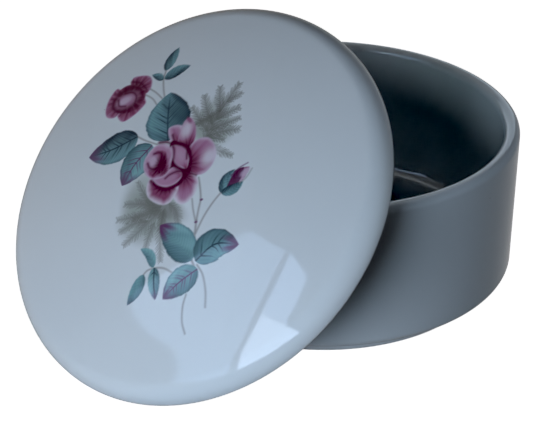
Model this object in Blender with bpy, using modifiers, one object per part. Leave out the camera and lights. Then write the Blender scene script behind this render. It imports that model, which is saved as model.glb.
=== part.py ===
"""Round porcelain trinket box: a straight-sided drum with a foot ring, and its loose domed lid,
which leans against the front of the drum with its lower edge on the table.

Units are metres, +Z is up and the table is at z = 0.  The origin is under the middle of the whole
object: the drum stands towards +Y and the lid leans on it from the -Y side.
"""
import math

import bmesh
import bpy

# ---- driving dimensions -----------------------------------------------------------------------
MM = 0.001
TURN_STEPS = 72                    # facets round each turned piece

BOX_RADIUS = 50.0 * MM             # outside of the drum at its rim
BOX_HEIGHT = 42.0 * MM             # table to the top of the rim
WALL = 4.1 * MM                    # thickness of the drum's wall, rounded over at the rim
WALL_TAPER = 0.6 * MM              # how much narrower the drum is at its lower corner
CORNER_HEIGHT = 4.3 * MM           # table to the drum's lower outer corner
CORNER_ROUND = 2.0 * MM
FLOOR_HEIGHT = 5.6 * MM            # table to the inside floor
FLOOR_FILLET = 5.0 * MM            # between the inside floor and the inside wall

FOOT_RADIUS = 44.0 * MM            # outside of the foot ring where it stands
FOOT_WIDTH = 3.0 * MM              # radial width of the foot ring, corners included
FOOT_NECK_HEIGHT = 2.9 * MM        # where the foot ring meets the drum's underside
FOOT_NECK_STEP = 0.5 * MM          # how far the foot ring flares out towards its neck
FOOT_ROUND = 0.6 * MM
RECESS_HEIGHT = 1.9 * MM           # table to the underside inside the foot ring

LID_RADIUS = 51.3 * MM
LID_CROWN_RADIUS = 200.0 * MM      # the gentle dome
LID_SHOULDER_RADIUS = 5.5 * MM     # the tighter curve from the dome down to the edge
LID_EDGE_ROUND = 1.5 * MM          # the rounded lower edge
LID_THICKNESS = 4.0 * MM           # at the middle of the dome
FLANGE_CLEARANCE = 0.9 * MM        # between the locating flange and the drum's mouth
FLANGE_WIDTH = 2.8 * MM
FLANGE_DEPTH = 4.0 * MM            # below the plane of the lid's edge
FLANGE_TAPER = 0.3 * MM
FLANGE_ROUND = 1.1 * MM
FLANGE_ROOT_FILLET = 0.7 * MM
UNDERSIDE_FILLET = 2.5 * MM

LEAN = math.radians(43.7)          # angle between the lid's plane and the table
REST_GAP = 0.3 * MM                # left between the lid's underside and the rim it leans on

PORCELAIN_WHITE = (0.80, 0.83, 0.86, 1.0)
GLAZE_ROUGHNESS = 0.12


# ---- profiles: (radius, height) points --------------------------------------------------------
def arc(centre, radius, start, end, segments):
    """Points on an arc; angles are in radians, measured from the +radius direction."""
    angles = [start + (end - start) * i / segments for i in range(segments + 1)]
    return [(centre[0] + radius * math.cos(a), centre[1] + radius * math.sin(a)) for a in angles]


def rounded(corners):
    """A path through (radius, height, rounding, segments) corners, each one cut by a true arc."""
    path = []
    for i, (x, z, rounding, segments) in enumerate(corners):
        if rounding == 0.0:
            path.append((x, z))
            continue
        before = unit(corners[i - 1], (x, z))
        after = unit(corners[(i + 1) % len(corners)], (x, z))
        half = 0.5 * math.acos(max(-1.0, min(1.0, before[0] * after[0] + before[1] * after[1])))
        along = rounding / math.tan(half)
        start = (x + before[0] * along, z + before[1] * along)
        end = (x + after[0] * along, z + after[1] * along)
        middle = unit((x + before[0] + after[0], z + before[1] + after[1]), (x, z))
        reach = rounding / math.sin(half)
        centre = (x + middle[0] * reach, z + middle[1] * reach)
        first = math.atan2(start[1] - centre[1], start[0] - centre[0])
        last = math.atan2(end[1] - centre[1], end[0] - centre[0])
        sweep = (last - first + math.pi) % (2.0 * math.pi) - math.pi
        path += arc(centre, rounding, first, first + sweep, segments)
    return path


def unit(point, origin):
    """Unit vector from origin towards point."""
    dx, dz = point[0] - origin[0], point[1] - origin[1]
    length = math.hypot(dx, dz)
    return dx / length, dz / length


def box_profile():
    """From the middle of the inside floor, up and over the rim, down the outside, to the middle below."""
    foot_inner = FOOT_RADIUS - FOOT_WIDTH
    lower_radius = BOX_RADIUS - WALL_TAPER
    rim_round = 0.499 * WALL
    return rounded([
        (0.0, FLOOR_HEIGHT, 0.0, 0),
        (lower_radius - WALL, FLOOR_HEIGHT, FLOOR_FILLET, 4),
        (BOX_RADIUS - WALL, BOX_HEIGHT, rim_round, 4),
        (BOX_RADIUS, BOX_HEIGHT, rim_round, 4),
        (lower_radius, CORNER_HEIGHT, CORNER_ROUND, 4),
        (FOOT_RADIUS + FOOT_NECK_STEP, FOOT_NECK_HEIGHT, FOOT_ROUND, 2),
        (FOOT_RADIUS, 0.0, FOOT_ROUND, 2),
        (foot_inner, 0.0, FOOT_ROUND, 2),
        (foot_inner - FOOT_NECK_STEP, RECESS_HEIGHT, FOOT_ROUND, 2),
        (0.0, RECESS_HEIGHT, 0.0, 0),
    ])


def shoulder_slope():
    """The dome's slope where it meets the shoulder, so that the two arcs join without a crease."""
    return math.asin((LID_RADIUS - LID_SHOULDER_RADIUS) / (LID_CROWN_RADIUS - LID_SHOULDER_RADIUS))


def crown_centre_height():
    """Height, over the plane of the lid's edge, of the centre that the dome is struck from."""
    slope = shoulder_slope()
    return LID_EDGE_ROUND - (LID_CROWN_RADIUS - LID_SHOULDER_RADIUS) * math.cos(slope)


def lid_profile():
    """From the top of the dome, over the edge, round the locating flange, to the middle underneath."""
    upright = 0.5 * math.pi
    slope = shoulder_slope()
    centre = (0.0, crown_centre_height())
    crown = arc(centre, LID_CROWN_RADIUS, upright, upright - slope, 7)
    shoulder_centre = (LID_RADIUS - LID_SHOULDER_RADIUS, LID_EDGE_ROUND)
    shoulder = arc(shoulder_centre, LID_SHOULDER_RADIUS, upright - slope, 0.0, 6)
    edge_centre = (LID_RADIUS - LID_EDGE_ROUND, LID_EDGE_ROUND)
    edge = arc(edge_centre, LID_EDGE_ROUND, 0.0, -upright, 3)

    flange_outer = BOX_RADIUS - WALL - FLANGE_CLEARANCE
    flange_inner = flange_outer - FLANGE_WIDTH
    under_radius = LID_CROWN_RADIUS - LID_THICKNESS
    flange_top = centre[1] + math.sqrt(under_radius ** 2 - flange_inner ** 2)
    under_start = (flange_inner - UNDERSIDE_FILLET - 0.5 * MM) / under_radius
    under = arc(centre, under_radius, upright - under_start, upright, 5)
    flange = rounded([
        (edge[-1][0], edge[-1][1], 0.0, 0),
        (flange_outer, 0.0, FLANGE_ROOT_FILLET, 2),
        (flange_outer - FLANGE_TAPER, -FLANGE_DEPTH, FLANGE_ROUND, 2),
        (flange_inner, -FLANGE_DEPTH, FLANGE_ROUND, 2),
        (flange_inner, flange_top, UNDERSIDE_FILLET, 3),
        (under[0][0], under[0][1], 0.0, 0),
    ])
    return crown[:-1] + shoulder[:-1] + edge[:-1] + flange + under[1:]


# ---- how the lid leans ------------------------------------------------------------------------
def lid_place():
    """Distance of the lid's centre in front of the drum's axis, and its height over the table.

    The lower edge touches the table, and the underside stops REST_GAP short of the rounded rim.
    """
    sin_lean, cos_lean = math.sin(LEAN), math.cos(LEAN)
    edge = LID_RADIUS - LID_EDGE_ROUND
    height = edge * sin_lean - LID_EDGE_ROUND * cos_lean + LID_EDGE_ROUND
    rim_round = 0.5 * WALL
    rim_out, rim_up = BOX_RADIUS - rim_round, BOX_HEIGHT - rim_round
    reach = LID_CROWN_RADIUS - LID_THICKNESS - rim_round - REST_GAP
    centre_height = crown_centre_height()
    # The middle of the rim's rounding is `reach` away from the centre of the underside's sphere, at
    # (forward + centre_height * sin, height + centre_height * cos).
    rise = rim_up - (height + centre_height * cos_lean)
    forward = rim_out - centre_height * sin_lean - math.sqrt(reach ** 2 - rise ** 2)
    return forward, height


def lid_front():
    """How far the leaning lid reaches in front of its own centre."""
    return max(z * math.sin(LEAN) + x * math.cos(LEAN) for x, z in lid_profile())


# ---- modelling --------------------------------------------------------------------------------
def clear_scene():
    for item in list(bpy.data.objects):
        bpy.data.objects.remove(item, do_unlink=True)


def porcelain(name):
    material = bpy.data.materials.new(name)
    material.use_nodes = True
    shader = material.node_tree.nodes["Principled BSDF"]
    shader.inputs["Base Color"].default_value = PORCELAIN_WHITE
    shader.inputs["Roughness"].default_value = GLAZE_ROUGHNESS
    shader.inputs["Metallic"].default_value = 0.0
    material.diffuse_color = PORCELAIN_WHITE
    return material


def turned(name, profile, material, collection):
    """A solid of revolution about the object's own Z axis."""
    shape = bmesh.new()
    verts = [shape.verts.new((x, 0.0, z)) for x, z in profile]
    for first, second in zip(verts, verts[1:]):
        shape.edges.new((first, second))
    mesh = bpy.data.meshes.new(name)
    shape.to_mesh(mesh)
    shape.free()
    mesh.materials.append(material)
    piece = bpy.data.objects.new(name, mesh)
    collection.objects.link(piece)

    screw = piece.modifiers.new("turn", "SCREW")
    screw.axis = "Z"
    screw.angle = 2.0 * math.pi
    screw.steps = TURN_STEPS
    screw.render_steps = TURN_STEPS
    screw.use_merge_vertices = True
    screw.merge_threshold = 0.00001
    screw.use_smooth_shade = True
    return piece


def build():
    clear_scene()
    collection = bpy.data.collections.new("porcelain_trinket_box")
    bpy.context.scene.collection.children.link(collection)

    forward, height = lid_place()
    front = forward + lid_front()
    axis_y = 0.5 * (front - BOX_RADIUS)      # puts the origin half way between front and back

    box = turned("box_body", box_profile(), porcelain("porcelain_box"), collection)
    box.location = (0.0, axis_y, 0.0)

    lid = turned("lid", lid_profile(), porcelain("porcelain_lid"), collection)
    lid.location = (0.0, axis_y - forward, height)
    lid.rotation_euler = (LEAN, 0.0, 0.0)


build()
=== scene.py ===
"""Looks for the porcelain trinket box: smooth glazed porcelain, the flower spray printed on the lid,
soft window light and the camera.  Units are metres, except for the printed spray and the window's
corners, which are laid out in millimetres on the lid's own plane: x across the lid and y up its slope,
from the middle of the dome.
"""

import math

import bmesh
import bpy
import numpy as np
from mathutils import Matrix, Vector


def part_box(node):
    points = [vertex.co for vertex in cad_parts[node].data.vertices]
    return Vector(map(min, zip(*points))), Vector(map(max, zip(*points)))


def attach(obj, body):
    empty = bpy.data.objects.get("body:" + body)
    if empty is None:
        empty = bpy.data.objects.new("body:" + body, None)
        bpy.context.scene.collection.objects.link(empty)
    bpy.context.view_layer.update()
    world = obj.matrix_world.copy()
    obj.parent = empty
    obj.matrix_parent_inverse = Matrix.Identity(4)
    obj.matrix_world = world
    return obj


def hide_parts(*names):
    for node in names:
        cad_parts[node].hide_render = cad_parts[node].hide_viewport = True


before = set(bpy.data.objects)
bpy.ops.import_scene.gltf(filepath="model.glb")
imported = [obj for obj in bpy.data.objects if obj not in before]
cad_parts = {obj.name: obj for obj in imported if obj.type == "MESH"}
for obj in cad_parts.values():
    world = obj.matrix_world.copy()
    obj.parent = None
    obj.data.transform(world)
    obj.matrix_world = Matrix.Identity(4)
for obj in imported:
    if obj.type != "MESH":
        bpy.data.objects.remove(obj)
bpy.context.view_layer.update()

MM = 0.001

# ---- the two pieces, as the CAD model has them
BOX_RADIUS = 50.0 * MM
BOX_HEIGHT = 42.0 * MM
WALL = 4.1 * MM
WALL_TAPER = 0.6 * MM
CORNER_HEIGHT = 4.3 * MM
CORNER_ROUND = 2.0 * MM
FLOOR_HEIGHT = 5.6 * MM
FLOOR_FILLET = 5.0 * MM
FOOT_RADIUS = 44.0 * MM
FOOT_WIDTH = 3.0 * MM
FOOT_NECK_HEIGHT = 2.9 * MM
FOOT_NECK_STEP = 0.5 * MM
FOOT_ROUND = 0.6 * MM
RECESS_HEIGHT = 1.9 * MM

LID_RADIUS = 51.3 * MM
LID_CROWN_RADIUS = 200.0 * MM
LID_SHOULDER_RADIUS = 5.5 * MM
LID_EDGE_ROUND = 1.5 * MM
LID_THICKNESS = 4.0 * MM
FLANGE_CLEARANCE = 0.9 * MM
FLANGE_WIDTH = 2.8 * MM
FLANGE_DEPTH = 4.0 * MM
FLANGE_TAPER = 0.3 * MM
FLANGE_ROUND = 1.1 * MM
FLANGE_ROOT_FILLET = 0.7 * MM
UNDERSIDE_FILLET = 2.5 * MM
UNDERSIDE_START = 0.5 * MM         # beyond the fillet, where the underside's own arc begins
LEAN = math.radians(43.7)          # between the lid's plane and the table

# ---- how finely the smooth surfaces are made
BOX_SEGMENTS = 360
PRINT_RADIUS = 40.0 * MM          # the disc of the dome that carries the print
PRINT_GRID = 400                  # grid cells across that disc
PROFILE_STEP = 3.0 * MM           # longest straight stretch of a profile
WARP = 0.05 * MM                  # how far firing pulls the pieces out of true

# ---- where the glaze stops and the clay is bare
GLAZE_FADE = 0.2 * MM             # to either side of the foot ring's edges
FOOT_BARE = 0.12 * MM             # all bare up to this height over the table
FOOT_GLAZED = 0.35 * MM           # all glazed from this height
FLANGE_BARE = 0.15 * MM           # the same two heights over the flange's lower edge
FLANGE_GLAZED = 0.5 * MM

# ---- the camera, placed from the photograph
CAMERA_AZIMUTH = -49.53           # where it stands round the box's axis, in degrees from +X
CAMERA_REACH = 434.5 * MM         # from the box's axis, level
CAMERA_HEIGHT = 251.4 * MM
CAMERA_HEADING = 132.34           # the way it looks, in degrees from +X
CAMERA_PITCH = -28.56
CAMERA_LENS = 128.2               # in mm, on a sensor of SENSOR_WIDTH
SENSOR_WIDTH = 36.0

# ---- the room and the window
ROOM_TONE = (0.94, 0.97, 1.0, 1.0)
BACKDROP = 1.05                   # brightness of floor and backdrop as the camera sees them
ROOM_LIGHT = 0.009                # what the dim room itself adds
ROOM_GLOSS = 0.5                  # how bright its walls and ceiling look in the glaze
FLOOR_GLOSS = 0.4                 # how bright the floor looks in the glaze
FLOOR_HALF = 3.0                  # half the floor's width
FLOOR_DROP = 0.2 * MM             # the floor lies this far below the piece's feet
BLACK_LEVEL = (0.035, 0.040, 0.044)   # light that already shows as black, as in a contrasty picture
WINDOW_DISTANCE = 1.5             # from the lid to the window panes
WINDOW_CUTS = 7                   # extra points along each edge, so that the panes follow the curve
# Where the window's parts are mirrored in the lid, in millimetres on the lid's plane.
WINDOW_GAP = [
    (36.8, -3.4), (42.8, -6.9), (43.4, -12.0), (43.8, -18.4), (37.1, -18.4), (37.0, -7.0),
]
WINDOW_SKY = [
    (37.1, -18.5), (43.8, -18.5), (46.6, -18.3), (45.4, -22.5), (44.0, -26.2), (40.8, -31.4),
    (37.6, -34.0), (36.8, -27.4),
]
WINDOW_BLIND = [
    (35.6, -3.6), (35.4, -12.0), (35.6, -22.0), (35.6, -31.0), (35.3, -35.4), (24.5, -41.2),
    (24.0, -37.8), (21.8, -36.3), (21.7, -34.4), (12.5, -34.3), (5.9, -31.7), (4.0, -27.0),
    (13.0, -16.0), (25.0, -3.0),
]


# ======== profiles ========
def arc(centre, radius, start, end, segments):
    """Points on an arc; angles are in radians, measured from the +radius direction."""
    angles = np.linspace(start, end, segments + 1)
    return [(centre[0] + radius * math.cos(a), centre[1] + radius * math.sin(a)) for a in angles]


def unit(point, origin):
    """Unit vector from origin towards point."""
    dx, dz = point[0] - origin[0], point[1] - origin[1]
    length = math.hypot(dx, dz)
    return dx / length, dz / length


def rounded(corners):
    """A path through (radius, height, rounding, segments) corners, each one cut by a true arc."""
    path = []
    for i, (x, z, rounding, segments) in enumerate(corners):
        if rounding == 0.0:
            path.append((x, z))
            continue
        before = unit(corners[i - 1], (x, z))
        after = unit(corners[(i + 1) % len(corners)], (x, z))
        half = 0.5 * math.acos(max(-1.0, min(1.0, before[0] * after[0] + before[1] * after[1])))
        along = rounding / math.tan(half)
        start = (x + before[0] * along, z + before[1] * along)
        end = (x + after[0] * along, z + after[1] * along)
        middle = unit((x + before[0] + after[0], z + before[1] + after[1]), (x, z))
        reach = rounding / math.sin(half)
        centre = (x + middle[0] * reach, z + middle[1] * reach)
        first = math.atan2(start[1] - centre[1], start[0] - centre[0])
        last = math.atan2(end[1] - centre[1], end[0] - centre[0])
        sweep = (last - first + math.pi) % (2.0 * math.pi) - math.pi
        path += arc(centre, rounding, first, first + sweep, segments)
    return path


def divided(path):
    """The same path with long straight stretches cut into shorter pieces."""
    out = [path[0]]
    for start, end in zip(path, path[1:]):
        pieces = max(1, math.ceil(math.dist(start, end) / PROFILE_STEP))
        for k in range(1, pieces + 1):
            t = k / pieces
            out.append((start[0] + (end[0] - start[0]) * t, start[1] + (end[1] - start[1]) * t))
    return out


def box_profile():
    """From the middle of the inside floor, over the rim and down the outside, to the middle below."""
    foot_inner = FOOT_RADIUS - FOOT_WIDTH
    lower_radius = BOX_RADIUS - WALL_TAPER
    rim_round = 0.499 * WALL
    path = rounded([
        (0.0, FLOOR_HEIGHT, 0.0, 0),
        (lower_radius - WALL, FLOOR_HEIGHT, FLOOR_FILLET, 14),
        (BOX_RADIUS - WALL, BOX_HEIGHT, rim_round, 10),
        (BOX_RADIUS, BOX_HEIGHT, rim_round, 10),
        (lower_radius, CORNER_HEIGHT, CORNER_ROUND, 10),
        (FOOT_RADIUS + FOOT_NECK_STEP, FOOT_NECK_HEIGHT, FOOT_ROUND, 5),
        (FOOT_RADIUS, 0.0, FOOT_ROUND, 5),
        (foot_inner, 0.0, FOOT_ROUND, 5),
        (foot_inner - FOOT_NECK_STEP, RECESS_HEIGHT, FOOT_ROUND, 5),
        (0.0, RECESS_HEIGHT, 0.0, 0),
    ])
    return divided(path)


def shoulder_slope():
    """The dome's slope where it meets the shoulder, so that the two arcs join without a crease."""
    return math.asin((LID_RADIUS - LID_SHOULDER_RADIUS) / (LID_CROWN_RADIUS - LID_SHOULDER_RADIUS))


CROWN_CENTRE = LID_EDGE_ROUND - (LID_CROWN_RADIUS - LID_SHOULDER_RADIUS) * math.cos(shoulder_slope())


def crown_height(radius):
    """Height of the dome over the plane of the lid's edge, inside the shoulder."""
    return CROWN_CENTRE + np.sqrt(LID_CROWN_RADIUS ** 2 - radius ** 2)


def lid_profile():
    """From the edge of the print's disc, over the lid's edge, round the flange, to the middle below."""
    upright = 0.5 * math.pi
    slope = shoulder_slope()
    centre = (0.0, CROWN_CENTRE)
    print_slope = math.asin(PRINT_RADIUS / LID_CROWN_RADIUS)
    crown = arc(centre, LID_CROWN_RADIUS, upright - print_slope, upright - slope, 6)
    shoulder_centre = (LID_RADIUS - LID_SHOULDER_RADIUS, LID_EDGE_ROUND)
    shoulder = arc(shoulder_centre, LID_SHOULDER_RADIUS, upright - slope, 0.0, 18)
    edge_centre = (LID_RADIUS - LID_EDGE_ROUND, LID_EDGE_ROUND)
    edge = arc(edge_centre, LID_EDGE_ROUND, 0.0, -upright, 8)

    flange_outer = BOX_RADIUS - WALL - FLANGE_CLEARANCE
    flange_inner = flange_outer - FLANGE_WIDTH
    under_radius = LID_CROWN_RADIUS - LID_THICKNESS
    flange_top = CROWN_CENTRE + math.sqrt(under_radius ** 2 - flange_inner ** 2)
    under_start = (flange_inner - UNDERSIDE_FILLET - UNDERSIDE_START) / under_radius
    under = arc(centre, under_radius, upright - under_start, upright, 16)
    flange = rounded([
        (edge[-1][0], edge[-1][1], 0.0, 0),
        (flange_outer, 0.0, FLANGE_ROOT_FILLET, 5),
        (flange_outer - FLANGE_TAPER, -FLANGE_DEPTH, FLANGE_ROUND, 6),
        (flange_inner, -FLANGE_DEPTH, FLANGE_ROUND, 6),
        (flange_inner, flange_top, UNDERSIDE_FILLET, 8),
        (under[0][0], under[0][1], 0.0, 0),
    ])
    return divided(crown[:-1] + shoulder[:-1] + edge[:-1] + flange + under[1:])


# ======== meshes ========
def disc_points(radius, cells):
    """A square grid wrapped onto a disc, whose outer points lie evenly round its edge."""
    a, b = np.meshgrid(np.linspace(-1, 1, cells + 1), np.linspace(-1, 1, cells + 1))
    wide = np.abs(a) >= np.abs(b)
    main = np.where(wide, a, b)
    other = np.where(wide, b, a)
    turn = 0.25 * math.pi * np.divide(other, main, out=np.zeros_like(main), where=main != 0)
    along, across = main * np.cos(turn), main * np.sin(turn)
    return radius * np.where(wide, along, across), radius * np.where(wide, across, along)


def disc_rim(cells):
    """Indices of that grid's outer points, anticlockwise from its lower left corner."""
    n = cells + 1
    bottom = list(range(0, cells))
    right = [cells + n * k for k in range(0, cells)]
    top = [n * n - 1 - k for k in range(0, cells)]
    left = [n * (cells - k) for k in range(0, cells)]
    return bottom + right + top + left


class Shape:
    """Collects the points and faces of one mesh."""

    def __init__(self):
        self.points = []
        self.faces = []

    def ring(self, radius, height, segments, start=0.0):
        """Adds a circle of points and gives their indices."""
        first = len(self.points)
        for k in range(segments):
            a = start + 2.0 * math.pi * k / segments
            self.points.append((radius * math.cos(a), radius * math.sin(a), height))
        return range(first, first + segments)

    def join(self, upper, lower):
        """Faces between two rings; the lower may have the same number of points or half as many."""
        n = len(upper)
        if len(lower) == n:
            for k in range(n):
                m = (k + 1) % n
                self.faces.append((upper[k], lower[k], lower[m], upper[m]))
            return
        half = len(lower)
        for k in range(half):
            a, b, c = upper[2 * k], upper[2 * k + 1], upper[(2 * k + 2) % n]
            d, e = lower[k], lower[(k + 1) % half]
            self.faces += [(a, d, b), (b, d, e), (b, e, c)]

    def fan(self, ring, height, upward):
        """Closes a ring with a point on the axis, facing up or down."""
        centre = len(self.points)
        self.points.append((0.0, 0.0, height))
        for k, index in enumerate(ring):
            first, second = (centre, index) if upward else (index, centre)
            self.faces.append((first, second, ring[(k + 1) % len(ring)]))

    def mesh(self, name):
        """The finished mesh, smooth all over."""
        mesh = bpy.data.meshes.new(name)
        mesh.from_pydata(self.points, [], self.faces)
        mesh.shade_smooth()
        mesh.validate()
        return mesh


def coordinates(mesh):
    """The mesh's points as rows of x, y, z."""
    co = np.empty(len(mesh.vertices) * 3)
    mesh.vertices.foreach_get("co", co)
    return co.reshape(-1, 3)


def fired(co, seed):
    """The slight wave that drying and firing leave in a round piece, never outwards of its true size."""
    angle = np.arctan2(co[:, 1], co[:, 0])
    radius = np.hypot(co[:, 0], co[:, 1])
    wave = np.sin(2 * angle + seed)
    wave = wave + 0.6 * np.sin(3 * angle + 2.1 * seed) + 0.4 * np.sin(5 * angle + seed)
    shrink = WARP * (wave - 2.0) / 4.0 * (radius / BOX_RADIUS) ** 2
    scale = 1.0 + shrink / BOX_RADIUS
    out = co.copy()
    out[:, 0] *= scale
    out[:, 1] *= scale
    return out


def store_point_values(mesh, name, values):
    """One number for each point, under a name that the material reads."""
    layer = mesh.attributes.new(name, "FLOAT", "POINT")
    layer.data.foreach_set("value", np.ascontiguousarray(values, dtype=np.float32))


def store_point_colours(mesh, name, colours):
    """One linear colour for each point, under a name that the material reads."""
    layer = mesh.attributes.new(name, "FLOAT_COLOR", "POINT")
    full = np.ones((len(colours), 4), np.float32)
    full[:, :3] = colours
    layer.data.foreach_set("color", full.ravel())


def finish_piece(mesh, material, matrix, body, node):
    """Puts a mesh in its place on its body, instead of the CAD node's own mesh."""
    mesh.transform(matrix)
    mesh.materials.append(material)
    piece = bpy.data.objects.new(mesh.name, mesh)
    bpy.context.scene.collection.objects.link(piece)
    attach(piece, body)
    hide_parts(node)
    return piece


def smoothstep(low, high, x):
    """0 at low and 1 at high, with soft ends; low may be the larger of the two."""
    t = np.clip((x - low) / (high - low), 0.0, 1.0)
    return t * t * (3.0 - 2.0 * t)


# ======== the printed spray ========
def srgb(red, green, blue):
    """A colour in 0 to 1 from one in 0 to 255."""
    return np.array([red, green, blue], float) / 255.0


# Each ink multiplies the white of the porcelain.
INK = {
    "deep": srgb(108, 54, 76),
    "wine": srgb(168, 98, 128),
    "mauve": srgb(212, 158, 186),
    "blush": srgb(236, 206, 226),
    "white": srgb(255, 246, 252),
    "teal": srgb(154, 198, 202),
    "pale_teal": srgb(168, 211, 213),
    "slate": srgb(108, 136, 142),
    "ink": srgb(70, 82, 92),
    "purple": srgb(132, 92, 124),
    "grey": srgb(190, 192, 184),
    "smoke": srgb(138, 135, 128),
    "stem": srgb(180, 174, 172),
}
SOFT = 0.20                # mm over which an edge fades
LEAF_TIP = 0.8             # power that a leaf narrows with towards its tip
VEIN_SLANT = 0.85          # how far side veins run forward for each step sideways
VEIN_STRENGTH = 0.80
RIB_STRENGTH = 0.90
NEEDLE_SPACING = 0.40      # mm along a frond's rib
NEEDLE_LEAN = 44           # degrees between needle and rib
NEEDLE_WIDTH = 0.26
RIB_WIDTH = 0.22
RIB_END_WIDTH = 0.10
PETAL_EDGE = 0.9           # how strongly a petal's far edge takes its rim colour


def between(a, b, c, d, t):
    """Points on the smooth curve from b to c, with a and d as its neighbours."""
    return 0.5 * ((2 * b) + (c - a) * t + (2 * a - 5 * b + 4 * c - d) * t ** 2
                  + (3 * b - a - 3 * c + d) * t ** 3)


def curve(points, samples=24):
    """A smooth open curve through three or more given points."""
    p = np.array(points, float)
    ends = np.vstack([2 * p[0] - p[1], p, 2 * p[-1] - p[-2]])
    per = max(4, samples // (len(p) - 1))
    t = np.linspace(0, 1, per, endpoint=False)[:, None]
    out = [between(*ends[i:i + 4], t) for i in range(len(p) - 1)]
    return np.vstack(out + [p[-1:]])


def outline(points, samples=8):
    """A smooth closed outline through given points."""
    p = np.array(points, float)
    n = len(p)
    t = np.linspace(0, 1, samples, endpoint=False)[:, None]
    return np.vstack([between(p[i - 1], p[i], p[(i + 1) % n], p[(i + 2) % n], t) for i in range(n)])


def wave_noise(x, seed, octaves=3):
    """A smooth wandering value in -1 to 1 along x."""
    rng = np.random.default_rng(seed)
    total = np.zeros_like(x)
    weight = 0.0
    for k in range(octaves):
        amount = 0.6 ** k
        total += amount * np.sin(x * (1.7 ** k) * rng.uniform(0.8, 1.25) + rng.uniform(0, 6.28))
        weight += amount
    return total / weight


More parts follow.
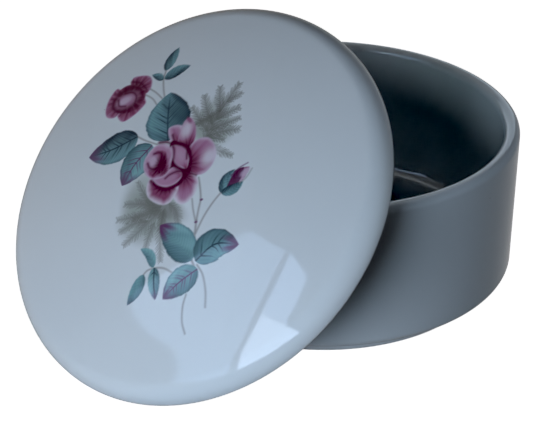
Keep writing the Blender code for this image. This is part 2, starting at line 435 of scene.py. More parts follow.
class Print:
    """The ink on the dome: one colour for each point of its mesh, white where nothing is printed."""

    def __init__(self, x, y):
        self.p = np.stack([x, y], -1)
        self.ink = np.ones((len(x), 3))

    def near(self, points, margin):
        """Indices of the print's points in a box round some others."""
        low, high = points.min(0) - margin, points.max(0) + margin
        return np.nonzero(((self.p >= low) & (self.p <= high)).all(1))[0]

    def lay(self, where, colour, cover):
        """Lays a colour over what is there; a cover of 1 hides it."""
        cover = np.clip(cover, 0.0, 1.0)[:, None]
        self.ink[where] = self.ink[where] * (1.0 - cover) + colour * cover

    def to_segments(self, where, start, end):
        """For each point: distance to the nearest segment, which one that is, and how far along."""
        p = self.p[where][:, None, :]
        run = end - start
        t = ((p - start) * run).sum(-1) / np.maximum((run ** 2).sum(-1), 1e-12)
        t = np.clip(t, 0.0, 1.0)
        gap = np.linalg.norm(p - (start + t[..., None] * run), axis=-1)
        best = gap.argmin(1)
        rows = np.arange(len(where))
        return gap[rows, best], best, t[rows, best]

    def along(self, where, line):
        """For each point: place along the line from 0 to 1, and signed distance, left positive."""
        gap, best, t = self.to_segments(where, line[:-1], line[1:])
        run = line[best + 1] - line[best]
        offset = self.p[where] - line[best]
        side = np.sign(run[:, 0] * offset[:, 1] - run[:, 1] * offset[:, 0])
        return (best + t) / (len(line) - 1), gap * side

    # ---- strokes ----
    def stroke(self, points, width, colour, strength=1.0, end_width=None, soft=SOFT):
        """A brush line whose width changes evenly from one end to the other."""
        line = curve(points)
        where = self.near(line, width + 2 * soft)
        place, gap = self.along(where, line)
        last = width if end_width is None else end_width
        half = 0.5 * (width + (last - width) * place)
        self.lay(where, colour, strength * smoothstep(half + 1.5 * soft, half - soft, np.abs(gap)))

    def needles(self, starts, ends, strength):
        """Many short tapering strokes at once."""
        starts, ends = np.array(starts), np.array(ends)
        where = self.near(np.vstack([starts, ends]), 2 * SOFT + NEEDLE_WIDTH)
        gap, _, t = self.to_segments(where, starts, ends)
        half = 0.5 * NEEDLE_WIDTH * (1.0 - 0.55 * t)
        cover = strength * smoothstep(half + 0.7 * SOFT, half - 0.7 * SOFT, gap)
        self.lay(where, INK["smoke"], cover)

    def haze(self, centre, radii, angle, colour, strength, edge=1.0):
        """A soft oval of colour."""
        centre, radii = np.array(centre, float), np.array(radii, float)
        reach = radii.max() * (1 + edge)
        where = self.near(centre[None, :], reach)
        d = self.p[where] - centre
        c, s = math.cos(math.radians(angle)), math.sin(math.radians(angle))
        q = np.hypot((d[:, 0] * c + d[:, 1] * s) / radii[0], (d[:, 1] * c - d[:, 0] * s) / radii[1])
        self.lay(where, colour, strength * smoothstep(1.0 + 0.5 * edge, 1.0 - 0.5 * edge, q))

    # ---- leaves ----
    def leaf(self, base, tip, half_width, bend, light, dark, tip_ink=0.0, veins=0, vein_ink="ink",
             seed=0, shade_side=1, fullness=0.55):
        """A pointed leaf on a bent midrib, darker to one side, with side veins and an inked tip."""
        base, tip = np.array(base, float), np.array(tip, float)
        run = tip - base
        length = np.linalg.norm(run)
        normal = np.array([-run[1], run[0]]) / length
        middle = 0.5 * (base + tip) + normal * bend * length
        rib = curve([base, middle, tip], 36)
        where = self.near(rib, half_width + 1.0)
        place, gap = self.along(where, rib)
        peak = fullness / (fullness + LEAF_TIP)
        top = peak ** fullness * (1 - peak) ** LEAF_TIP
        half = half_width * place ** fullness * np.maximum(1 - place, 0) ** LEAF_TIP / top
        ragged = 1.0 + 0.03 * wave_noise(place * 30, seed + 5)
        cover = smoothstep(0.0, 2 * SOFT, half * ragged - np.abs(gap))
        across = gap / np.maximum(half, 0.05)

        lift = np.abs(gap) / length
        hatch = wave_noise((place - VEIN_SLANT * lift) * length * 7.0, seed + 2, 2)
        shade = 0.40 + 0.46 * across * shade_side + 0.20 * np.abs(across) ** 2 + 0.10 * hatch
        shade += 0.14 * wave_noise(place * 9 - across * 4, seed) + 0.20 * smoothstep(0.30, 0.0, place)
        shade = np.clip(shade, 0, 1)[:, None]
        colour = INK[light] * (1 - shade) + INK[dark] * shade

        vein = np.zeros(len(where))
        for k in range(veins):
            start = 0.14 + 0.62 * (k + 0.35 * (k % 2)) / max(veins, 1)
            wander = 0.012 * wave_noise(across * 5, seed + k)
            line = np.abs(place - start - VEIN_SLANT * lift + wander) * length
            fade = smoothstep(0.80, 0.15, np.abs(across))
            vein = np.maximum(vein, fade * smoothstep(0.30, 0.04, line))
        rib_line = smoothstep(0.30, 0.05, np.abs(gap)) * smoothstep(1.0, 0.6, place)
        vein = np.maximum(VEIN_STRENGTH * vein, RIB_STRENGTH * rib_line if veins else 0.0)[:, None]
        colour = colour * (1 - vein) + INK[vein_ink] * vein

        inked = tip_ink * smoothstep(0.62, 0.95, place + 0.08 * wave_noise(across * 6, seed + 9))
        rim = 0.42 * smoothstep(0.75, 1.0, np.abs(across))
        colour = colour * (1 - inked[:, None]) + INK["purple"] * inked[:, None]
        colour = colour * (1 - rim[:, None]) + INK["ink"] * rim[:, None]
        self.lay(where, colour, cover)

    # ---- petals ----
    def petal(self, points, root, seed, reach, body="mauve", rim="blush", rim_width=1.2, depth=1.0,
              streaks=0.25):
        """A petal inside a smooth outline: dark at its root, streaked, pale along its far edge."""
        shape = outline(points)
        where = self.near(shape, 1.0)
        gap, _, _ = self.to_segments(where, shape, np.roll(shape, -1, 0))
        inside = self.inside(where, shape)
        signed = np.where(inside, gap, -gap)
        root = np.array(root, float)
        away = self.p[where] - root
        distance = np.linalg.norm(away, axis=1)
        angle = np.arctan2(away[:, 1], away[:, 0])

        streak = streaks * wave_noise(angle * 13 + 0.25 * distance, seed)
        dark = depth * np.exp(-(distance / reach) ** 2 * 1.6) + streak * np.exp(-distance / reach)
        dark = np.clip(dark, 0, 1)[:, None]
        middle = np.clip(2 * dark, 0, 1)
        colour = INK[body] * (1 - middle) + INK["wine"] * middle
        deeper = np.clip(2 * dark - 1, 0, 1)
        colour = colour * (1 - deeper) + INK["deep"] * deeper

        outward = smoothstep(0.25 * reach, 0.75 * reach, distance)
        ragged = signed + 0.25 * wave_noise(angle * 7, seed + 3)
        pale = PETAL_EDGE * outward * smoothstep(rim_width, 0.15, ragged)
        colour = colour * (1 - pale[:, None]) + INK[rim] * pale[:, None]
        self.lay(where, colour, smoothstep(-0.5 * SOFT, 2 * SOFT, signed))

    def inside(self, where, shape):
        """Which points lie within a closed outline."""
        x, y = self.p[where].T
        hit = np.zeros(len(where), bool)
        for (x1, y1), (x2, y2) in zip(shape, np.roll(shape, -1, 0)):
            if y1 == y2:
                continue
            crosses = (y1 > y) != (y2 > y)
            hit ^= crosses & (x < (x2 - x1) * (y - y1) / (y2 - y1) + x1)
        return hit

    # ---- ferns ----
    def frond(self, points, needle, strength, seed):
        """A feathery frond: a fine rib with slanting needles on both sides, shorter to its tip."""
        rib = curve(points, 40)
        steps = np.linalg.norm(np.diff(rib, axis=0), axis=1)
        distance = np.concatenate([[0], np.cumsum(steps)])
        count = max(3, int(distance[-1] / NEEDLE_SPACING))
        rng = np.random.default_rng(seed)
        starts, ends = [], []
        for k in range(count):
            s = (k + 0.5) / count * distance[-1]
            here, ahead, behind = [
                np.array([np.interp(s + step, distance, rib[:, i]) for i in (0, 1)])
                for step in (0.0, 0.3, -0.3)]
            heading = math.atan2(*(ahead - behind)[::-1])
            left = s / distance[-1]
            long = needle * (0.45 + 0.75 * math.sin(math.pi * min(1.0, 0.25 + 0.75 * left)) ** 0.7)
            for side in (-1, 1):
                a = heading + side * math.radians(NEEDLE_LEAN + rng.uniform(-7, 7))
                reach = long * rng.uniform(0.8, 1.12)
                starts.append(here)
                ends.append(here + reach * np.array([math.cos(a), math.sin(a)]))
        self.needles(starts, ends, strength)
        self.stroke(points, RIB_WIDTH, INK["smoke"], 0.5 * strength, RIB_END_WIDTH)


def paint_upper_fern(ink):
    """The grey fern behind the rose, over a soft haze."""
    ink.haze((0.6, 15.6), (5.6, 4.4), 0, INK["grey"], 0.85, 0.8)
    ink.haze((-0.6, 19.2), (3.6, 4.4), 0, INK["grey"], 0.60, 0.9)
    fronds = [
        ([(1.0, 12.0), (0.3, 20.0), (0.4, 28.6)], 1.9),
        ([(0.6, 20.0), (-1.6, 22.6), (-4.0, 26.0)], 1.6),
        ([(0.5, 16.5), (-3.0, 19.0), (-6.6, 22.6)], 1.7),
        ([(0.5, 14.5), (-3.6, 16.4), (-7.8, 18.6)], 1.6),
        ([(0.6, 18.0), (2.4, 20.4), (4.6, 23.0)], 1.6),
        ([(1.0, 13.5), (4.2, 15.8), (8.0, 18.0)], 1.8),
        ([(2.0, 11.5), (5.6, 11.2), (10.4, 11.4)], 1.5),
        ([(0.8, 15.0), (3.4, 17.6), (6.4, 20.6)], 1.5),
        ([(0.4, 23.0), (1.6, 24.8), (2.6, 26.6)], 1.2),
        ([(0.3, 20.6), (-1.2, 18.0), (-4.2, 14.6)], 1.3),
        ([(0.8, 12.5), (3.0, 13.6), (6.0, 14.2)], 1.4),
    ]
    for k, (points, needle) in enumerate(fronds):
        ink.frond(points, needle, strength=0.66, seed=k + 1)


def paint_lower_fern(ink):
    """The broader grey fern below the rose."""
    ink.haze((-2.0, -8.6), (7.6, 5.4), 0, INK["grey"], 0.85, 0.8)
    ink.haze((-7.0, -6.0), (4.6, 6.4), 10, INK["grey"], 0.60, 1.0)
    ink.haze((0.0, -6.6), (6.5, 2.6), 0, INK["smoke"], 0.50, 1.0)
    ink.haze((-3.0, -13.5), (6.0, 3.4), 0, INK["grey"], 0.50, 0.9)
    fronds = [
        ([(0.0, -6.0), (-4.6, -10.6), (-10.2, -13.8)], 1.8),
        ([(0.5, -7.0), (-2.0, -13.0), (-4.8, -18.6)], 1.8),
        ([(1.0, -7.0), (3.6, -12.5), (7.2, -18.2)], 1.6),
        ([(1.5, -5.0), (4.5, -6.0), (7.2, -9.0)], 1.5),
        ([(-1.5, -11.0), (-5.0, -13.0), (-7.8, -16.2)], 1.5),
        ([(0.5, -10.5), (0.8, -14.0), (1.6, -17.0)], 1.4),
        ([(-1.0, -7.0), (-6.0, -8.0), (-10.4, -9.6)], 1.6),
        ([(0.0, -6.5), (-2.6, -9.6), (-6.0, -12.0)], 1.5),
        ([(1.2, -6.5), (2.2, -9.6), (3.4, -12.0)], 1.4),
        ([(-2.0, -7.0), (-6.5, -5.4), (-10.2, -3.4)], 1.3),
    ]
    for k, (points, needle) in enumerate(fronds):
        ink.frond(points, needle, strength=0.52, seed=k + 21)


def paint_stems(ink):
    """Thin stems, and two small purple joints on them."""
    twigs = [
        ([(-22.5, 25.2), (-21.4, 22.8), (-19.6, 20.6), (-17.4, 18.4)], 0.42),
        ([(-24.2, 19.3), (-20.8, 18.8), (-17.4, 17.8)], 0.34),
        ([(-23.8, 17.4), (-20.6, 17.0), (-17.6, 15.6)], 0.34),
        ([(-18.2, 6.8), (-15.0, 6.6), (-11.0, 6.8)], 0.38),
        ([(5.4, 3.4), (7.2, 1.4), (9.0, -1.0), (9.9, -3.4), (10.9, -6.0)], 0.46),
        ([(10.9, -6.0), (12.3, -9.0), (13.7, -12.4), (14.9, -14.8)], 0.56),
        ([(6.8, -1.8), (8.6, -4.0), (10.9, -6.4)], 0.34),
        ([(13.2, 2.8), (12.5, -0.6), (12.2, -4.4), (12.4, -8.8)], 0.42),
        ([(14.9, -14.8), (16.0, -15.6), (17.0, -16.4)], 0.50),
        ([(11.4, -19.3), (9.6, -19.2), (8.0, -19.5), (6.4, -20.3), (5.0, -21.4), (4.4, -23.0)], 0.36),
        ([(17.7, -22.4), (18.2, -25.0), (19.8, -28.3), (21.8, -30.4)], 0.42),
        ([(16.8, -15.2), (19.4, -16.7), (22.0, -19.8), (23.7, -23.0)], 0.42),
    ]
    for points, width in twigs:
        ink.stroke(points, 0.78 * width, INK["stem"], 0.80)
    for x, y in ((9.3, -1.1), (11.0, -6.4)):
        ink.haze((x, y), (0.42, 0.30), 40, INK["purple"], 0.8, 0.8)


def paint_upper_leaves(ink):
    """Three small leaves at the top, and the three large ones round the rose."""
    ink.leaf((-22.6, 25.0), (-23.5, 32.2), 1.75, 0.02, "teal", "ink", seed=21)
    ink.leaf((-21.2, 22.9), (-16.2, 28.6), 1.8, 0.05, "teal", "ink", seed=22, shade_side=-1)
    ink.leaf((-21.3, 22.6), (-25.9, 22.8), 1.15, -0.06, "teal", "ink", seed=23)
    ink.leaf((-8.6, 8.6), (-16.6, 20.2), 6.4, 0.02, "teal", "ink", veins=4, seed=24, shade_side=-1,
             fullness=0.60)
    ink.haze((-9.6, 14.6), (2.6, 4.4), 35, INK["slate"], 0.55, 1.2)
    ink.leaf((-17.9, 6.9), (-29.4, -2.6), 4.4, 0.05, "teal", "ink", 0.8, veins=5, seed=25, shade_side=-1)
    ink.leaf((-12.2, 6.2), (-14.2, -5.9), 4.4, -0.06, "pale_teal", "slate", 0.8, veins=4,
             vein_ink="purple", seed=26, shade_side=-1)


def paint_lower_leaves(ink):
    """Three large and three small leaves at the foot of the spray."""
    ink.leaf((14.9, -14.9), (2.2, -10.6), 4.1, -0.06, "pale_teal", "slate", 1.0, seed=31)
    ink.leaf((15.9, -14.6), (24.2, -6.8), 4.1, 0.19, "teal", "slate", 1.0, veins=3, seed=32)
    ink.leaf((17.4, -16.0), (12.4, -25.8), 3.5, -0.04, "pale_teal", "slate", 0.9, veins=5,
             vein_ink="purple", seed=33)
    ink.leaf((6.2, -20.2), (0.2, -17.5), 1.45, -0.16, "pale_teal", "slate", seed=34)
    ink.leaf((6.4, -20.0), (10.7, -26.8), 1.8, -0.03, "pale_teal", "slate", 0.7, seed=35, veins=1)
    ink.leaf((4.6, -22.6), (3.9, -30.8), 1.8, 0.03, "teal", "slate", 0.3, seed=36)


def paint_bud(ink):
    """The half-open bud on its stem to the right."""
    ink.leaf((13.2, 2.6), (16.3, 10.8), 2.2, 0.02, "blush", "wine", seed=41)
    ink.leaf((13.6, 3.6), (15.0, 10.2), 1.8, 0.0, "purple", "deep", seed=42)
    ink.haze((15.9, 9.0), (0.7, 1.4), -20, INK["blush"], 0.8, 0.9)
    ink.leaf((13.1, 2.2), (13.2, 8.9), 1.4, 0.12, "teal", "ink", seed=43)
    ink.leaf((13.2, 2.2), (16.9, 7.0), 1.5, -0.10, "teal", "ink", seed=44)
    ink.stroke([(13.2, 7.0), (14.0, 9.4), (15.3, 11.4)], 0.36, INK["purple"], 0.8, 0.12)
    ink.stroke([(16.2, 6.2), (17.0, 8.0), (17.1, 10.6)], 0.26, INK["stem"], 0.7, 0.12)


def paint_small_rose(ink):
    """The dark open rose at the upper left."""
    outer = [
        ([(-33.6, 16.6), (-34.6, 13.8), (-33.6, 10.4), (-31.4, 8.4), (-28.4, 9.4), (-28.4, 14.0)],
         (-29.5, 14.5), 6.2),
        ([(-28.4, 10.6), (-27.2, 9.0), (-25.2, 8.8), (-23.6, 10.4), (-22.2, 13.2), (-22.0, 15.8),
          (-25.0, 16.4)], (-27.2, 14.4), 6.2),
        ([(-31.2, 20.4), (-29.0, 21.8), (-26.4, 22.4), (-24.4, 21.4), (-23.2, 19.0), (-24.6, 17.0),
          (-30.0, 18.0)], (-27.6, 17.2), 5.6),
    ]
    for k, (points, root, reach) in enumerate(outer):
        ink.petal(points, root, 51 + k, reach, rim="mauve", rim_width=0.7, streaks=0.5)
    ink.petal([(-33.2, 15.2), (-31.6, 18.0), (-28.6, 19.0), (-25.0, 18.6), (-23.0, 16.4), (-23.4, 13.0),
               (-26.0, 11.0), (-29.4, 10.4), (-32.2, 11.8)], (-28.0, 14.6), body="wine", rim="wine",
              seed=54, reach=9.0, depth=1.15, rim_width=0.5, streaks=0.35)
    ink.haze((-28.4, 14.4), (3.6, 2.3), 40, INK["mauve"], 0.85, 0.8)
    ink.haze((-28.9, 14.1), (2.1, 1.1), 40, INK["blush"], 0.90, 1.0)
    rings = [
        ([(-32.4, 13.2), (-31.2, 11.3), (-28.6, 10.9), (-26.0, 12.0)], 0.8),
        ([(-32.0, 15.0), (-30.0, 17.8), (-26.8, 18.4), (-24.4, 17.0)], 0.9),
        ([(-31.0, 13.6), (-29.6, 12.3), (-27.6, 12.8)], 0.4),
        ([(-30.4, 15.8), (-28.2, 16.8), (-26.2, 16.2), (-25.2, 14.2)], 0.5),
        ([(-30.6, 19.4), (-27.6, 19.8), (-24.4, 18.8)], 0.5),
    ]
    for points, width in rings:
        ink.stroke(points, width, INK["deep"], 0.70, 0.4 * width, 0.38)
        ink.stroke(points, 0.3 * width, INK["deep"], 0.50, 0.1)


def paint_rose_back(ink):
    """The five open petals, with the dark hollow that they spring from."""
    ink.petal([(-10.6, 11.4), (-9.4, 13.0), (-7.2, 13.6), (-4.0, 13.0), (-3.0, 9.6), (-5.2, 7.8),
               (-8.6, 9.2)], (-3.6, 8.6), seed=61, reach=4.4, rim_width=1.6, depth=0.9, streaks=0.35)
    ink.petal([(-7.5, 14.9), (-6.4, 16.2), (-4.2, 15.3), (-2.3, 13.3), (-1.3, 11.0), (-1.6, 8.4),
               (-5.2, 8.4), (-7.0, 12.2)], (-1.8, 8.8), seed=62, reach=4.4, rim_width=0.8, rim="mauve",
              depth=0.9, streaks=0.35)
    ink.haze((-5.4, 12.9), (1.5, 2.3), 25, INK["white"], 0.80, 1.4)
    ink.haze((-6.3, 15.4), (1.1, 0.5), -25, INK["wine"], 0.70, 1.2)
    ink.petal([(-2.0, 9.0), (-1.0, 11.8), (1.4, 13.3), (4.0, 12.6), (6.2, 10.6), (7.0, 7.6), (6.3, 4.9),
               (4.2, 3.5), (0.8, 3.4), (-0.8, 6.0)], (0.4, 5.0), seed=63, reach=5.0, rim_width=1.2,
              depth=0.95, streaks=0.25)
    ink.haze((4.9, 9.0), (1.9, 2.4), -10, INK["white"], 0.85, 1.5)
    ink.petal([(0.6, 3.2), (3.6, 4.0), (5.9, 2.8), (6.9, 0.2), (6.6, -2.4), (5.2, -4.1), (3.2, -4.3),
               (1.2, -2.8), (0.2, 0.4)], (1.4, 2.4), seed=64, reach=4.2, rim_width=1.8, rim="white",
              depth=0.9, streaks=0.35)
    ink.petal([(-7.4, -1.4), (-6.9, -4.2), (-5.0, -6.0), (-2.0, -6.5), (0.6, -6.0), (2.0, -4.2),
               (1.8, -0.6), (-0.6, 0.0), (-4.0, -1.0)], (-2.4, -0.8), seed=66, reach=5.0, depth=1.1,
              rim_width=2.1, rim="white", body="wine", streaks=0.4)
    ink.petal([(-7.6, 8.8), (-4.6, 9.6), (-1.4, 9.3), (0.8, 7.0), (2.3, 4.6), (2.4, 2.6), (1.4, -0.6),
               (-1.6, -2.6), (-6.0, -2.2), (-6.0, 4.0)], (-1.0, 3.0), body="deep", rim="deep", seed=65,
              reach=9.0, depth=1.2)


def paint_rose_heart(ink):
    """The folded petals round the cup, and the cup itself."""
    ink.petal([(-7.0, 7.8), (-4.6, 8.8), (-2.0, 8.3), (0.2, 6.6), (1.1, 4.3), (0.0, 3.7), (-2.8, 4.0),
               (-5.2, 5.6)], (1.6, 3.4), seed=67, reach=2.6, rim_width=0.6, depth=0.9)
    ink.haze((-2.4, 6.6), (2.2, 1.1), -25, INK["blush"], 0.35, 1.4)
    ink.petal([(-6.9, -1.2), (-4.8, -2.3), (-1.8, -2.0), (0.4, -0.3), (1.1, 2.0), (0.0, 3.3), (-2.6, 3.5),
               (-3.8, 2.2), (-4.6, 0.4)], (1.4, 3.2), seed=68, reach=2.4, rim_width=1.0, depth=0.9)
    ink.petal([(-11.0, 6.6), (-8.8, 7.8), (-6.0, 7.2), (-4.2, 4.9), (-3.4, 1.8), (-4.8, -0.8), (-7.4, -1.6),
               (-10.0, -0.8), (-11.9, 1.6), (-12.0, 4.6)], (-5.0, 1.6), seed=69, reach=2.8, rim_width=1.3,
              depth=0.8)
    ink.petal([(-10.2, 5.4), (-8.4, 6.5), (-6.4, 5.6), (-5.0, 3.2), (-4.8, 0.8), (-6.4, -1.2), (-8.8, -0.9),
               (-10.6, 1.4), (-11.0, 3.8)], (-6.4, 2.6), seed=70, reach=4.6, depth=1.2, body="wine",
              rim="mauve", rim_width=0.8, streaks=0.45)
    ink.haze((-9.5, 2.5), (1.5, 2.0), 15, INK["blush"], 0.90, 1.3)
    creases = [
        ([(-10.6, 7.4), (-8.2, 8.3), (-5.8, 7.6), (-4.2, 5.4), (-3.3, 3.6)], 0.55),
        ([(-3.5, 4.0), (-1.6, 3.4), (0.6, 3.6), (2.6, 3.6), (4.4, 3.7)], 0.70),
        ([(0.6, 3.3), (-1.2, 2.6), (-2.6, 1.2), (-3.2, 0.0)], 0.45),
        ([(-6.6, 8.6), (-3.6, 9.2), (-1.2, 8.4), (0.6, 6.8), (1.4, 4.4)], 0.70),
        ([(-6.6, -2.0), (-3.8, -2.8), (-0.8, -2.2), (1.0, 0.0), (1.5, 2.4)], 0.70),
        ([(-10.4, 1.6), (-9.0, 0.8), (-7.2, 1.2), (-6.4, 2.6)], 0.40),
        ([(-10.2, 4.4), (-8.8, 5.2), (-7.2, 4.6), (-6.6, 3.0)], 0.36),
        ([(-2.0, 9.4), (-1.4, 7.8), (-0.6, 6.4)], 0.60),
        ([(-8.2, 10.4), (-6.6, 9.2), (-4.4, 9.0)], 0.40),
    ]
    for points, width in creases:
        ink.stroke(points, width, INK["deep"], 0.70, 0.3 * width, 0.42)
        ink.stroke(points, 0.4 * width, INK["deep"], 0.45, 0.1)


def paint_spray(x, y):
    """The ink on every point of the dome's disc, back to front."""
    ink = Print(x, y)
    paint_upper_fern(ink)
    paint_lower_fern(ink)
    paint_stems(ink)
    paint_upper_leaves(ink)
    paint_lower_leaves(ink)
    paint_bud(ink)
    paint_small_rose(ink)
    paint_rose_back(ink)
    paint_rose_heart(ink)
    # a stray speck of ink
    ink.haze((-31.7, 29.0), (0.28, 0.22), 0, INK["ink"], 0.30, 0.8)
    return ink.ink


def to_linear(colour):
    """Screen colours to light."""
    return np.where(colour <= 0.04045, colour / 12.92, ((np.clip(colour, 0, 1) + 0.055) / 1.055) ** 2.4)


# ======== materials ========
def wire(tree, node, inputs):
    """Sets each input to a value, or links it if it is given another node's output."""
    for key, value in inputs.items():
        if isinstance(value, bpy.types.NodeSocket):
            tree.links.new(value, node.inputs[key])
        else:
            node.inputs[key].default_value = value


def add(tree, kind, inputs, **settings):
    """A new node with its settings made and its inputs wired."""
    node = tree.nodes.new(kind)
    for key, value in settings.items():
        setattr(node, key, value)
    wire(tree, node, inputs)
    return node


def noise(tree, place, scale, detail):
    """A cloudy value at each place on the piece."""
    inputs = {"Vector": place, "Scale": scale, "Detail": detail}
    return add(tree, "ShaderNodeTexNoise", inputs).outputs["Fac"]


def blend(tree, factor, a, b, **settings):
    """A mix of two colours, or of two numbers with data_type FLOAT."""
    settings = {"data_type": "RGBA", **settings}
    inputs = {"Factor": factor, "A": a, "B": b}
    return add(tree, "ShaderNodeMix", inputs, **settings).outputs["Result"]


def porcelain(name, printed):
    """White porcelain under a clear glaze: faint mottling, sparse pinhole specks, bare clay where
    the piece stands, and on the lid the print under the glaze."""
    material = bpy.data.materials.new(name)
    material.use_nodes = True
    tree = material.node_tree
    place = add(tree, "ShaderNodeTexCoord", {}).outputs["Object"]
    bare = add(tree, "ShaderNodeAttribute", {}, attribute_name="bare").outputs["Fac"]
    clay = noise(tree, place, 900.0, 4.0)

    cloud = noise(tree, place, 28.0, 3.0)
    colour = blend(tree, cloud, (0.74, 0.775, 0.79, 1.0), (0.80, 0.825, 0.83, 1.0))
    specks = add(tree, "ShaderNodeTexVoronoi", {"Vector": place, "Scale": 95.0}, feature="F1")
    near = add(tree, "ShaderNodeMapRange", {
        "Value": specks.outputs["Distance"], "From Min": 0.010, "From Max": 0.022,
        "To Min": 0.55, "To Max": 0.0,
    })
    colour = blend(tree, near.outputs["Result"], colour, (0.20, 0.17, 0.15, 1.0))
    if printed:
        ink = add(tree, "ShaderNodeAttribute", {}, attribute_name="ink")
        colour = blend(tree, 1.0, colour, ink.outputs["Color"], blend_type="MULTIPLY")
    biscuit = blend(tree, clay, (0.52, 0.49, 0.44, 1.0), (0.72, 0.69, 0.64, 1.0))
    colour = blend(tree, bare, colour, biscuit)

    gloss = noise(tree, place, 60.0, 4.0)
    polish = add(tree, "ShaderNodeMapRange", {"Value": gloss, "To Min": 0.02, "To Max": 0.06})
    roughness = blend(tree, bare, polish.outputs["Result"], 0.85, data_type="FLOAT")

    ripple = noise(tree, place, 55.0, 1.5)
    glaze = {"Height": ripple, "Strength": 0.35, "Distance": 0.00012}
    glaze_bump = add(tree, "ShaderNodeBump", glaze)
    grain = add(tree, "ShaderNodeMath", {0: clay, 1: bare}, operation="MULTIPLY")
    clay_bump = add(tree, "ShaderNodeBump", {
        "Height": grain.outputs["Value"], "Strength": 0.6, "Distance": 0.00015,
        "Normal": glaze_bump.outputs["Normal"],
    })
    wire(tree, tree.nodes["Principled BSDF"], {
        "Base Color": colour, "Roughness": roughness, "Normal": clay_bump.outputs["Normal"],
        "IOR": 1.52,
    })
    return material


# ======== pieces ========
def make_box():
    """The drum, with bare clay on the foot ring that it stands on."""
    profile = box_profile()
    shape = Shape()
    rings = [shape.ring(r, z, BOX_SEGMENTS) for r, z in profile[1:-1]]
    shape.fan(rings[0], profile[0][1], True)
    for upper, lower in zip(rings, rings[1:]):
        shape.join(upper, lower)
    shape.fan(rings[-1], profile[-1][1], False)
    mesh = shape.mesh("box_body_glazed")
    co = coordinates(mesh)
    half = 0.5 * FOOT_WIDTH
    off_middle = abs(np.hypot(co[:, 0], co[:, 1]) - (FOOT_RADIUS - half))
    ring_mask = smoothstep(half + GLAZE_FADE, half - GLAZE_FADE, off_middle)
    store_point_values(mesh, "bare", ring_mask * smoothstep(FOOT_GLAZED, FOOT_BARE, co[:, 2]))
    mesh.vertices.foreach_set("co", fired(co, 0.4).ravel())
    low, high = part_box("box_body")
    middle = 0.5 * (low + high)
    matrix = Matrix.Translation((middle.x, middle.y, 0.0))
    material = porcelain("glazed_porcelain", False)
    return finish_piece(mesh, material, matrix, "box", "box_body")


def make_lid():
    """The lid: a fine grid under the print, and rings from there over the edge to the underside."""
    shape = Shape()
    x, y = disc_points(PRINT_RADIUS, PRINT_GRID)
    z = crown_height(np.hypot(x, y))
    shape.points = np.stack([x.ravel(), y.ravel(), z.ravel()], -1).tolist()
    n = PRINT_GRID + 1
    corner = (np.arange(PRINT_GRID)[:, None] * n + np.arange(PRINT_GRID)[None, :]).ravel()
    shape.faces = np.stack([corner, corner + 1, corner + n + 1, corner + n], -1).tolist()

    upper = disc_rim(PRINT_GRID)
    start = math.radians(-135.0)       # the grid's lower left corner
    segments = len(upper)
    profile = lid_profile()
    for k, (radius, height) in enumerate(profile[1:-1]):
        if k in (0, 2):
            segments //= 2
        lower = shape.ring(radius, height, segments, start)
        shape.join(upper, lower)
        upper = lower
    shape.fan(upper, profile[-1][1], False)
    mesh = shape.mesh("lid_printed")

    co = coordinates(mesh)
    ink = np.ones((len(co), 3))
    painted = n * n
    ink[:painted] = paint_spray(co[:painted, 0] / MM, co[:painted, 1] / MM)
    store_point_colours(mesh, "ink", to_linear(ink))
    over_flange = co[:, 2] + FLANGE_DEPTH
    store_point_values(mesh, "bare", smoothstep(FLANGE_GLAZED, FLANGE_BARE, over_flange))
    mesh.vertices.foreach_set("co", fired(co, 1.7).ravel())

    matrix = Matrix.Translation(LID_MIDDLE) @ Matrix.Rotation(LEAN, 4, "X")
    material = porcelain("printed_porcelain", True)
    return finish_piece(mesh, material, matrix, "lid", "lid")


def lid_middle():
    """Where the middle of the lid's edge plane is: it stands on the floor, and its front is where
    the CAD lid's front is."""
    height = (LID_RADIUS - LID_EDGE_ROUND) * math.sin(LEAN) + LID_EDGE_ROUND * (1.0 - math.cos(LEAN))
    front = max(z * math.sin(LEAN) + r * math.cos(LEAN) for r, z in lid_profile())
    return Vector((0.0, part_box("lid")[0].y + front, height))


LID_MIDDLE = lid_middle()
box_piece = make_box()
lid_piece = make_lid()

# ======== stage, light and camera ========
low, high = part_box("box_body")
box_axis = 0.5 * (low + high)


def direction(azimuth, elevation):
    """Unit vector; both angles are in degrees, and the azimuth is measured from +X."""
    a, e = math.radians(azimuth), math.radians(elevation)
    return Vector((math.cos(e) * math.cos(a), math.cos(e) * math.sin(a), math.sin(e)))


def camera_place():
    """Where the camera stands."""
    stand = direction(CAMERA_AZIMUTH, 0.0) * CAMERA_REACH
    return Vector((box_axis.x + stand.x, box_axis.y + stand.y, CAMERA_HEIGHT))


def brightness(tree, gloss, others):
    """BACKDROP for the camera's rays, and for the rest others, with gloss added in the glaze."""
    path = add(tree, "ShaderNodeLightPath", {})
    inputs = {0: path.outputs["Is Glossy Ray"], 1: gloss, 2: others}
    unseen = add(tree, "ShaderNodeMath", inputs, operation="MULTIPLY_ADD")
    inputs = {0: path.outputs["Is Camera Ray"], 1: BACKDROP, 2: unseen.outputs["Value"]}
    return add(tree, "ShaderNodeMath", inputs, operation="MULTIPLY_ADD").outputs["Value"]


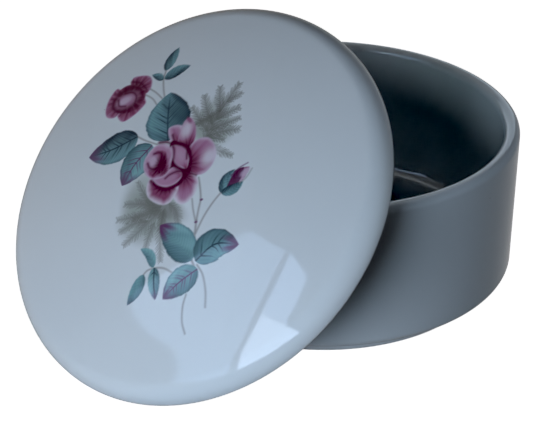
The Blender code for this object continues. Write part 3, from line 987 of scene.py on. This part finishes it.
def make_floor():
    """A plain pale floor: white to the camera, dimmer in the glaze, and dark to soft light."""
    mesh = bpy.data.meshes.new("floor")
    signs = [(-1, -1), (1, -1), (1, 1), (-1, 1)]
    corners = [(a * FLOOR_HALF, b * FLOOR_HALF, 0.0) for a, b in signs]
    mesh.from_pydata(corners, [], [(0, 1, 2, 3)])
    floor = bpy.data.objects.new("floor", mesh)
    bpy.context.scene.collection.objects.link(floor)
    material = bpy.data.materials.new("pale_floor")
    material.use_nodes = True
    tree = material.node_tree
    seen = add(tree, "ShaderNodeLightPath", {}).outputs["Is Camera Ray"]
    wire(tree, tree.nodes["Principled BSDF"], {
        "Base Color": blend(tree, seen, (0.10, 0.11, 0.12, 1.0), (0.80, 0.80, 0.80, 1.0)),
        "Roughness": 0.9, "Specular IOR Level": 0.0,
        "Emission Strength": brightness(tree, FLOOR_GLOSS, 0.0),
    })
    mesh.materials.append(material)
    floor.location.z = -FLOOR_DROP


def panel(name, azimuth, elevation, distance, width, height, glow, lit, mirrored=False):
    """A glowing rectangle that faces the lid's middle; its angles are in degrees and its glow is red,
    green and blue.  It lights one piece, or, if mirrored, only shows in that piece's glaze."""
    light = bpy.data.lights.new(name, "AREA")
    light.shape = "RECTANGLE"
    light.size = width
    light.size_y = height
    light.energy = max(glow) * math.pi * width * height
    light.color = [tone / max(glow) for tone in glow]
    lamp = bpy.data.objects.new(name, light)
    lamp.location = LID_MIDDLE + direction(azimuth, elevation) * distance
    lamp.rotation_euler = (-direction(azimuth, elevation)).to_track_quat("-Z", "Y").to_euler()
    lamp.visible_camera = False
    lamp.visible_glossy = mirrored
    lamp.visible_diffuse = not mirrored
    group = bpy.data.collections.new(name)
    group.objects.link(lit)
    lamp.light_linking.receiver_collection = group
    bpy.context.scene.collection.objects.link(lamp)


def lid_place(x, y):
    """The point and normal of the lid's upper face, dome or shoulder, over a place in millimetres."""
    turn = Matrix.Rotation(LEAN, 3, "X")
    radius = math.hypot(x, y) * MM
    if radius < LID_CROWN_RADIUS * math.sin(shoulder_slope()):
        middle = Vector((0.0, 0.0, CROWN_CENTRE))
        height = float(crown_height(radius))
    else:
        inner = LID_RADIUS - LID_SHOULDER_RADIUS
        middle = Vector((x * MM, y * MM, 0.0)) * (inner / radius)
        middle.z = LID_EDGE_ROUND
        height = LID_EDGE_ROUND + math.sqrt(max(LID_SHOULDER_RADIUS ** 2 - (radius - inner) ** 2, 0.0))
    spot = Vector((x * MM, y * MM, height))
    return LID_MIDDLE + turn @ spot, turn @ (spot - middle).normalized()


def window_pane(name, corners, glow):
    """A pane of window light, placed so that the camera sees its image at these places on the lid."""
    eye = camera_place()
    shape = bmesh.new()
    shape.faces.new([shape.verts.new((x, y, 0.0)) for x, y in corners])
    bmesh.ops.triangulate(shape, faces=shape.faces[:])
    bmesh.ops.subdivide_edges(shape, edges=shape.edges[:], cuts=WINDOW_CUTS, use_grid_fill=True)
    for vert in shape.verts:
        spot, normal = lid_place(vert.co.x, vert.co.y)
        sight = (spot - eye).normalized()
        vert.co = spot + sight.reflect(normal) * WINDOW_DISTANCE
    mesh = bpy.data.meshes.new(name)
    shape.to_mesh(mesh)
    shape.free()
    material = bpy.data.materials.new(name)
    material.use_nodes = True
    tree = material.node_tree
    lamp = add(tree, "ShaderNodeEmission", {"Color": (*glow, 1.0)})
    wire(tree, tree.nodes["Material Output"], {"Surface": lamp.outputs["Emission"]})
    mesh.materials.append(material)
    pane = bpy.data.objects.new(name, mesh)
    pane.visible_camera = False
    pane.visible_diffuse = False
    pane.visible_shadow = False
    bpy.context.scene.collection.objects.link(pane)


def make_lights():
    """A dim room, large soft panels for each piece, and the window as the lid mirrors it."""
    world = bpy.data.worlds.new("room")
    world.use_nodes = True
    tree = world.node_tree
    strength = brightness(tree, ROOM_GLOSS, ROOM_LIGHT)
    wire(tree, tree.nodes["Background"], {"Color": ROOM_TONE, "Strength": strength})
    bpy.context.scene.world = world
    # name, azimuth, elevation, distance, width, height, glow, piece
    panel("lid_front", -74, 7, 0.60, 0.28, 0.14, (11.7, 14.9, 18.9), lid_piece)
    panel("lid_left", -145, 6, 0.70, 0.50, 0.14, (3.6, 2.9, 2.3), lid_piece)
    panel("lid_right", 60, 15, 0.90, 0.40, 0.30, (0.8, 1.3, 1.8), lid_piece)
    panel("lid_edge", -30, 8, 0.80, 0.40, 0.16, (5.1, 5.7, 6.4), lid_piece)
    panel("lid_back", 120, 8, 0.80, 0.60, 0.30, (1.3, 1.45, 1.6), lid_piece)
    panel("box_key", -100, 6, 0.60, 0.60, 0.12, (4.0, 4.0, 4.6), box_piece)
    panel("box_front", -74, 12, 0.60, 0.28, 0.14, (8.9, 11.4, 14.2), box_piece)
    panel("box_left", -145, 6, 0.70, 0.50, 0.14, (3.2, 4.2, 4.8), box_piece)
    panel("box_right", 60, 15, 0.90, 0.40, 0.30, (2.1, 2.7, 3.4), box_piece)
    panel("box_fill", -30, 8, 0.80, 0.40, 0.16, (0.7, 0.85, 1.0), box_piece)
    panel("overhead", 140, 62, 1.0, 1.20, 1.10, (0.8, 0.85, 0.9), box_piece, True)
    panel("far_wall", 132, 20, 1.2, 1.20, 0.50, (0.9, 1.1, 1.3), box_piece, True)
    window_pane("window_gap", WINDOW_GAP, (2.3, 3.0, 4.2))
    window_pane("window_sky", WINDOW_SKY, (4.4, 5.4, 7.0))
    window_pane("window_blind", WINDOW_BLIND, (1.6, 2.1, 2.9))


def make_camera():
    """The camera where the photograph was taken from."""
    data = bpy.data.cameras.new("camera")
    data.lens = CAMERA_LENS
    data.sensor_width = SENSOR_WIDTH
    data.clip_start = 10.0 * MM
    camera = bpy.data.objects.new("camera", data)
    bpy.context.scene.collection.objects.link(camera)
    camera.location = camera_place()
    camera.rotation_euler = direction(CAMERA_HEADING, CAMERA_PITCH).to_track_quat("-Z", "Y").to_euler()
    bpy.context.scene.camera = camera


make_floor()
make_lights()
make_camera()
view = bpy.context.scene.view_settings
view.view_transform = "Standard"
view.use_curve_mapping = True
view.curve_mapping.black_level = BLACK_LEVEL
view.curve_mapping.update()
